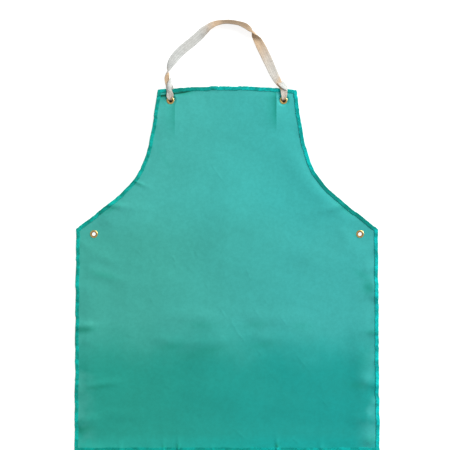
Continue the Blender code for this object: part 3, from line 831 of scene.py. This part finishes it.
# Columns: x, up, z, width, roll and cup in degrees, thickness, and the yarn's
# colour, from 0, cool, to 1, tan, and from there to 2, painted shade.  The tan is
# partly painted shade, along the folds at the knots.  The face looks up
# at roll 0 and down at roll 180, and a positive cup turns both selvedges towards it.
# The tape starts behind the left bib grommet, comes up through it and over the
# knot, runs round the neck, and goes down through the right grommet.
TAPE_ROUTE = [
    (-113, 727, 0.8, 8, 180, 0, 1.0, 0.4), (-113, 717, 0.8, 8, 180, 0, 1.0, 0.4),
    # The values over 1 here paint the tape dark, as shade in the grommet hole.
    (-113, 708, 0.8, 8.0, 180, 0, 1.0, 1.4), (-113, 701, 0.75, 8.6, 180, 0, 1.0, 2),
    (-113, 697.4, 1.0, 7.6, 180, 0, 1.0, 2), (-113, 698.4, 2.0, 5.6, 180, -20, 1.1, 2),
    (-113, 700.6, 2.9, 6.0, 180, -30, 1.2, 2), (-113, 702.2, 4.4, 6.6, 180, -60, 1.3, 1.5),
    (-113.2, 705.0, 6.0, 10.2, 180, -50, 1.2, 0.25), (-113.6, 709, 7.0, 14.8, 180, -34, 1.2, 0.32),
    (-113.9, 713.5, 8.0, 13.6, 180, -34, 1.2, 0.28), (-115.2, 719.5, 8.9, 10.0, 180, 40, 1.2, 0.15),
    (-116.8, 725, 8.4, 10.2, 180, 50, 1.3, 0.1), (-117.8, 731, 6.4, 8.8, 180, 40, 1.3, 0.4),
    (-119.2, 737, 4.8, 8.8, 180, -30, 1.3, 0.95), (-119.9, 743, 5.0, 9.4, 180, -60, 1.2, 1.0),
    (-119.6, 749, 6.0, 8.2, 160, -90, 1.2, 1.0), (-118.9, 754.5, 7.2, 9.4, 116, -130, 1.5, 0.9),
    (-117.6, 759.5, 7.4, 12.0, 66, -100, 1.4, 0.3), (-115.4, 765.5, 6.6, 15.4, 44, -10, 1.2, 0.0),
    (-112.4, 772, 5.4, 17.8, 31, 24, 1.2, 0.0), (-108.0, 780, 3.8, 19, 18, 30, 1.2, 0.0),
    (-102.0, 788.4, 2.4, 19, 7, 26, 1.2, 0.0),
    (-95, 796.5, 1.8, 19, 0, 20, 1.2, 0.0), (-83, 807.5, 1.5, 19, 0, 14, 1.2, 0.05),
    (-69, 818.5, 1.5, 19, 0, 12, 1.2, 0.05), (-56, 830, 1.7, 19, 6, 20, 1.2, 0.05),
    (-45, 840.0, 3.2, 19, 18, 40, 1.2, 0.2), (-33, 848.2, 5.6, 19, 38, 56, 1.2, 0.7),
    # From here to the twist on the right, the values over 1 paint shade where the tape stands on
    # edge over the neck.
    (-20, 853.4, 7.4, 19, 50, 60, 1.2, 1.16), (-5, 855.9, 7.8, 19, 57, 60, 1.2, 1.56),
    (10, 855.4, 7.9, 19, 57, 60, 1.2, 1.60), (24, 853.0, 7.7, 19, 54, 56, 1.2, 1.58),
    (37, 848.0, 7.4, 18.6, 46, 40, 1.2, 1.54), (46.2, 842.0, 7.2, 17.2, 50, -20, 1.2, 1.42),
    (53.0, 834.6, 6.8, 13.6, 96, -150, 1.5, 1.2), (57.4, 827.6, 4.8, 13.4, 146, -110, 1.3, 1.0),
    (62.4, 819, 3.0, 16.8, 174, -50, 1.2, 0.95), (68.0, 808.6, 2.0, 19, 180, -24, 1.2, 0.85),
    (73.8, 797.2, 1.7, 19, 180, -16, 1.2, 0.65), (80.3, 783.6, 1.5, 19, 180, -14, 1.2, 0.42),
    (86.5, 770, 1.8, 18.6, 180, -20, 1.2, 0.28), (92.3, 757, 2.6, 17.6, 180, -20, 1.2, 0.2),
    # The rows at 736 and 728.5 are painted tan, as shade along the fold under the right knot's
    # turn.
    (98.3, 745, 4.2, 16.0, 180, 10, 1.2, 0.3), (103.5, 736, 5.6, 13.0, 180, 24, 1.3, 0.9),
    (109, 728.5, 6.8, 11.4, 180, 40, 1.3, 0.9), (112.6, 722, 7.6, 12.4, 180, 10, 1.2, 0.3),
    (113.8, 715.5, 7.4, 13.4, 180, -40, 1.2, 0.35), (114, 709.5, 6.8, 11.4, 180, -44, 1.2, 0.45),
    # The values over 1 here paint the tape dark, as shade in the grommet hole.
    (113.4, 705, 5.8, 8.6, 180, -60, 1.2, 0.35), (113, 702.2, 4.4, 6.6, 180, -60, 1.3, 1.5),
    (113, 700.6, 2.9, 6.0, 180, -30, 1.2, 2), (113, 698.4, 2.0, 5.6, 180, -20, 1.1, 2),
    (113, 697.4, 1.0, 7.6, 180, 0, 1.0, 2), (113, 701, 0.75, 8.6, 180, 0, 1.0, 2),
    (113, 708, 0.8, 8.0, 180, 0, 1.0, 1.4), (113, 717, 0.8, 8, 180, 0, 1.0, 0.4),
    (113, 727, 0.8, 8, 180, 0, 1.0, 0.4),
]
YARN_SLANT = 5.0            # how far the tape's colour lags between its middle and a selvedge
TAPE_ACROSS = 15            # points across each face
SELVEDGE_THINNING = 0.55
SWAY = 0.22                 # how unevenly the tape was woven and worn
SWAY_EVERY = 9


def smooth_rows(rows, spacing):
    """Rows along a Catmull-Rom curve; only the place is curved, the rest is eased."""
    rows = np.array(rows, float)
    padded = np.vstack([2 * rows[0] - rows[1], rows, 2 * rows[-1] - rows[-2]])
    found = []
    for i in range(1, len(padded) - 2):
        a, b, c, d = padded[i - 1:i + 3]
        count = max(3, round(float(np.linalg.norm((c - b)[:3])) / spacing))
        for t in np.arange(count) / count:
            row = b + (c - b) * (t * t * (3 - 2 * t))
            row[:3] = 0.5 * (2 * b + (c - a) * t + (2 * a - 5 * b + 4 * c - d) * t**2
                             + (3 * b - a - 3 * c + d) * t**3)[:3]
            found.append(row)
    found.append(rows[-1])
    return np.array(found)


def eased(values, times):
    """Values with each averaged with its neighbours, but for the two ends."""
    for _ in range(times):
        values = np.concatenate([values[:1], (values[:-2] + 2 * values[1:-1] + values[2:]) / 4,
                                 values[-1:]])
    return values


def carried_sides(ahead):
    """A sideways direction for each point of a line, from +X, carried untwisted."""
    sides = [np.array([1.0, 0.0, 0.0])]
    for way in ahead[1:]:
        side = sides[-1] - way * np.dot(sides[-1], way)
        sides.append(side / np.linalg.norm(side))
    return np.array(sides)


def tape_ring(line, rows, sway):
    """The tape's section at each row: across its face, then back across its back."""
    ahead = directions(line)
    sides = carried_sides(ahead)
    normals = np.cross(sides, ahead)
    roll = np.radians(rows[:, 4])[:, None]
    out = sides * np.cos(roll) + normals * np.sin(roll)
    face = -sides * np.sin(roll) + normals * np.cos(roll)
    across = np.linspace(-1.0, 1.0, TAPE_ACROSS)[None, :]
    cup = np.radians(np.where(np.abs(rows[:, 5]) < 1.0, 1.0, rows[:, 5]))
    angle = cup[:, None] / 2 * across
    wide = rows[:, 3] + sway[0]
    radius = (wide / 2 / np.sin(np.abs(cup) / 2) * np.sign(cup))[:, None]
    a = radius * np.sin(angle)
    b = radius * (1 - np.cos(angle))
    b = b - b.mean(axis=1, keepdims=True)
    b = b + sway[1][:, None] * across + 0.5 * sway[2][:, None] * across**2
    thick = rows[:, 6][:, None] / 2 * (1.0 - SELVEDGE_THINNING * np.abs(across) ** 12)
    halves = []
    for way, order in ((1.0, slice(None)), (-1.0, slice(None, None, -1))):
        pa = a - way * np.sin(angle) * thick
        pb = b + way * np.cos(angle) * thick
        spot = (line[:, None, :] + out[:, None, :] * pa[..., None]
                + face[:, None, :] * pb[..., None])
        halves.append(spot[:, order])
    return np.concatenate(halves, axis=1)


def make_tape(name, route, surface, spacing=1.4, floor=0.25, seed=5):
    """A flat woven tape along a route, with a crisp selvedge on both sides.  Also
    gives its middle line, in metres, and its length."""
    rows = smooth_rows(route, spacing)
    rows[:, 3:] = eased(rows[:, 3:], 3)
    line = rows[:, :3].copy()
    along = distance_along(line)
    rng = np.random.default_rng(seed)
    sways = max(6, int(along[-1] / SWAY_EVERY))
    sway = [wandering(along, sways, rng.normal(0, SWAY, sways)) for _ in range(3)]
    ring = tape_ring(line, rows, sway)
    # It is raised wherever it would go lower than the floor.
    raised = eased(np.maximum(floor - ring[..., 2].min(axis=1), 0.0), 3)
    ring[..., 2] += raised[:, None]
    line[:, 2] += raised
    around = ring.shape[1]
    points = place(ring[..., 0], ring[..., 1], ring[..., 2])
    piece = new_mesh(name, points, tube_faces(len(line), around), [surface])
    across = np.linspace(-1.0, 1.0, TAPE_ACROSS)
    both = np.concatenate([across, across[::-1]])
    lag = along[:, None] + YARN_SLANT * both[None, :]
    add_values(piece, "tan_and_fold_shade", np.interp(lag, along, np.clip(rows[:, 7], 0, 1)))
    add_values(piece, "tape_shade", np.repeat(np.clip(rows[:, 7] - 1, 0, 1), around))
    u = np.repeat(along, around) * MM
    v = np.tile(both, len(line)) * TAPE_WIDTH / 2 * MM
    corner = np.zeros(len(piece.data.loops), np.int32)
    piece.data.loops.foreach_get("vertex_index", corner)
    layer = piece.data.uv_layers.new(name="tape")
    uv = np.stack([u[corner], v[corner]], axis=1)
    layer.data.foreach_set("uv", uv.astype(np.float32).ravel())
    return piece, place(line[:, 0], line[:, 1], line[:, 2]), along[-1] * MM


# The knots: on each side a turn of tape over the neck of the loop, from high on
# one side down over the front, and the tape's own short end beside it.
LEFT_WRAP = [
    (-112.4, 745.0, 3.4, 3.0, 0, 30, 1.1, 0.0), (-113.0, 741.0, 5.4, 5.2, 6, 60, 1.1, 0.0),
    (-114.2, 736.0, 7.6, 7.4, 8, 80, 1.1, 0.0), (-115.0, 730.5, 9.3, 9.0, 4, 90, 1.1, 0.0),
    (-115.0, 725.0, 10.4, 9.2, 0, 90, 1.1, 0.05), (-115.0, 720.0, 10.2, 6.6, 0, 80, 1.1, 0.15),
    (-114.8, 716.0, 8.8, 4.0, 0, 60, 1.0, 0.3), (-114.6, 713.0, 7.2, 2.6, 0, 40, 0.9, 0.3),
]
LEFT_END = [
    (-115.6, 737.0, 4.2, 4.0, 0, 20, 1.1, 0.0), (-112.8, 732.6, 6.2, 6.0, -10, 24, 1.1, 0.0),
    (-110.6, 728.4, 7.0, 6.6, -20, 24, 1.1, 0.0), (-109.2, 724.6, 6.8, 5.8, -24, 20, 1.1, 0.1),
    (-108.6, 722.4, 6.2, 4.2, -26, 20, 1.0, 0.3),
]
# The first rows are painted tan, as shade along the fold where this turn meets the tape.
RIGHT_WRAP = [
    (100.2, 736.6, 4.8, 4.0, 0, 20, 1.1, 0.9), (103.4, 734.8, 6.6, 7.2, 0, 50, 1.1, 0.4),
    (107.4, 732.6, 8.0, 10.2, 0, 60, 1.1, 0.05), (111.4, 729.8, 8.7, 11.4, 0, 64, 1.1, 0.0),
    (115.0, 726.8, 8.7, 10.4, 0, 64, 1.1, 0.0), (117.8, 723.8, 7.8, 7.6, 0, 50, 1.1, 0.0),
    (119.6, 721.2, 6.6, 4.4, 0, 30, 1.0, 0.1), (120.2, 719.6, 5.4, 2.8, 0, 30, 0.9, 0.2),
]
RIGHT_END = [
    (108.0, 739.0, 4.0, 4.0, 0, 20, 1.1, 0.0), (112.4, 735.4, 6.0, 6.4, 6, 24, 1.1, 0.0),
    (116.0, 730.4, 6.6, 6.8, 10, 24, 1.1, 0.0), (118.4, 725.6, 6.4, 5.6, 10, 20, 1.1, 0.05),
    (119.4, 722.6, 5.8, 4.0, 10, 20, 1.0, 0.2),
]


def make_turn(name, node, route, surface):
    """A short piece of tape that stands for one node of a knot."""
    piece, _, _ = make_tape(name, route, surface, spacing=0.8, floor=0.2, seed=11)
    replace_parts(piece, node)
    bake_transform(piece)
    return piece


# ---------------------------------------------------------------- stage

FLOOR_HALF_SIZE_M = 6.0
FLOOR_HEIGHT_M = -0.0003    # just clear of the washers


def make_floor(surface):
    size = FLOOR_HALF_SIZE_M
    corners = [(-size, -size, 0), (size, -size, 0), (size, size, 0), (-size, size, 0)]
    floor = new_mesh("floor", corners, [(0, 1, 2, 3)], [surface], smooth=False)
    floor.location.z = FLOOR_HEIGHT_M


def sun(name, azimuth, elevation, strength, spread, colour):
    """A broad, soft, far-off light: angles in degrees, azimuth anticlockwise from +X."""
    light = bpy.data.lights.new(name, "SUN")
    light.energy = strength
    light.angle = math.radians(spread)
    light.color = colour
    made = bpy.data.objects.new(name, light)
    bpy.context.collection.objects.link(made)
    a, e = math.radians(azimuth), math.radians(elevation)
    towards = Vector((math.cos(a) * math.cos(e), math.sin(a) * math.cos(e), math.sin(e)))
    made.rotation_euler = towards.to_track_quat("Z", "Y").to_euler()


def make_lights():
    world = bpy.data.worlds.new("soft_white")
    world.use_nodes = True
    background = world.node_tree.nodes["Background"]
    background.inputs["Color"].default_value = (1.0, 1.0, 1.0, 1.0)
    background.inputs["Strength"].default_value = 0.50
    bpy.context.scene.world = world
    sun("key", azimuth=42, elevation=33, strength=3.7, spread=48, colour=(1.0, 0.995, 0.985))


def make_camera():
    data = bpy.data.cameras.new("camera")
    data.lens = CAMERA_LENS
    data.sensor_width = CAMERA_SENSOR
    made = bpy.data.objects.new("camera", data)
    bpy.context.collection.objects.link(made)
    centre = place(*CAMERA_CENTRE, 0.0)
    made.location = (centre[0], centre[1], FRAME_WIDTH_M * CAMERA_LENS / CAMERA_SENSOR)
    bpy.context.scene.camera = made


# ---------------------------------------------------------------- the apron

bpy.context.scene.view_settings.view_transform = "Standard"
make_camera()
make_lights()
make_floor(floor_material())

# A line across the tape where it would bend if the neck strap swung; nothing in the script uses it.
HINGE_HEIGHT = 4.5
BEND_START = tuple(place(0, 727, HINGE_HEIGHT))
BEND_END = tuple(place(0, 735, HINGE_HEIGHT))
tape_look = tape_material()
tape, tape_line, tape_length = make_tape("neck_tape", TAPE_ROUTE, tape_look)
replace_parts(tape, "neck_strap", "left_grommet_loop", "right_grommet_loop")
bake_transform(tape)
wraps = [
    make_turn("left_knot_turn", "left_knot", LEFT_WRAP, tape_look),
    make_turn("left_tape_end", "left_tape_tail", LEFT_END, tape_look),
    make_turn("right_knot_turn", "right_knot", RIGHT_WRAP, tape_look),
    make_turn("right_tape_end", "right_tape_tail", RIGHT_END, tape_look),
]

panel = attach(make_panel(cloth_material()), "apron")
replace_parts(panel, "apron_panel")

thread = thread_material()
for seed, (edge, run) in enumerate(RUNS.items(), start=40):
    band = make_overlock(f"{edge}_overlock_stitching", run, seed, thread)
    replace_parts(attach(band, "apron"), f"{edge}_overlock")

brass = brass_material()
for label, (gx, gy) in GROMMETS.items():
    make_grommet(label, gx, gy, brass)
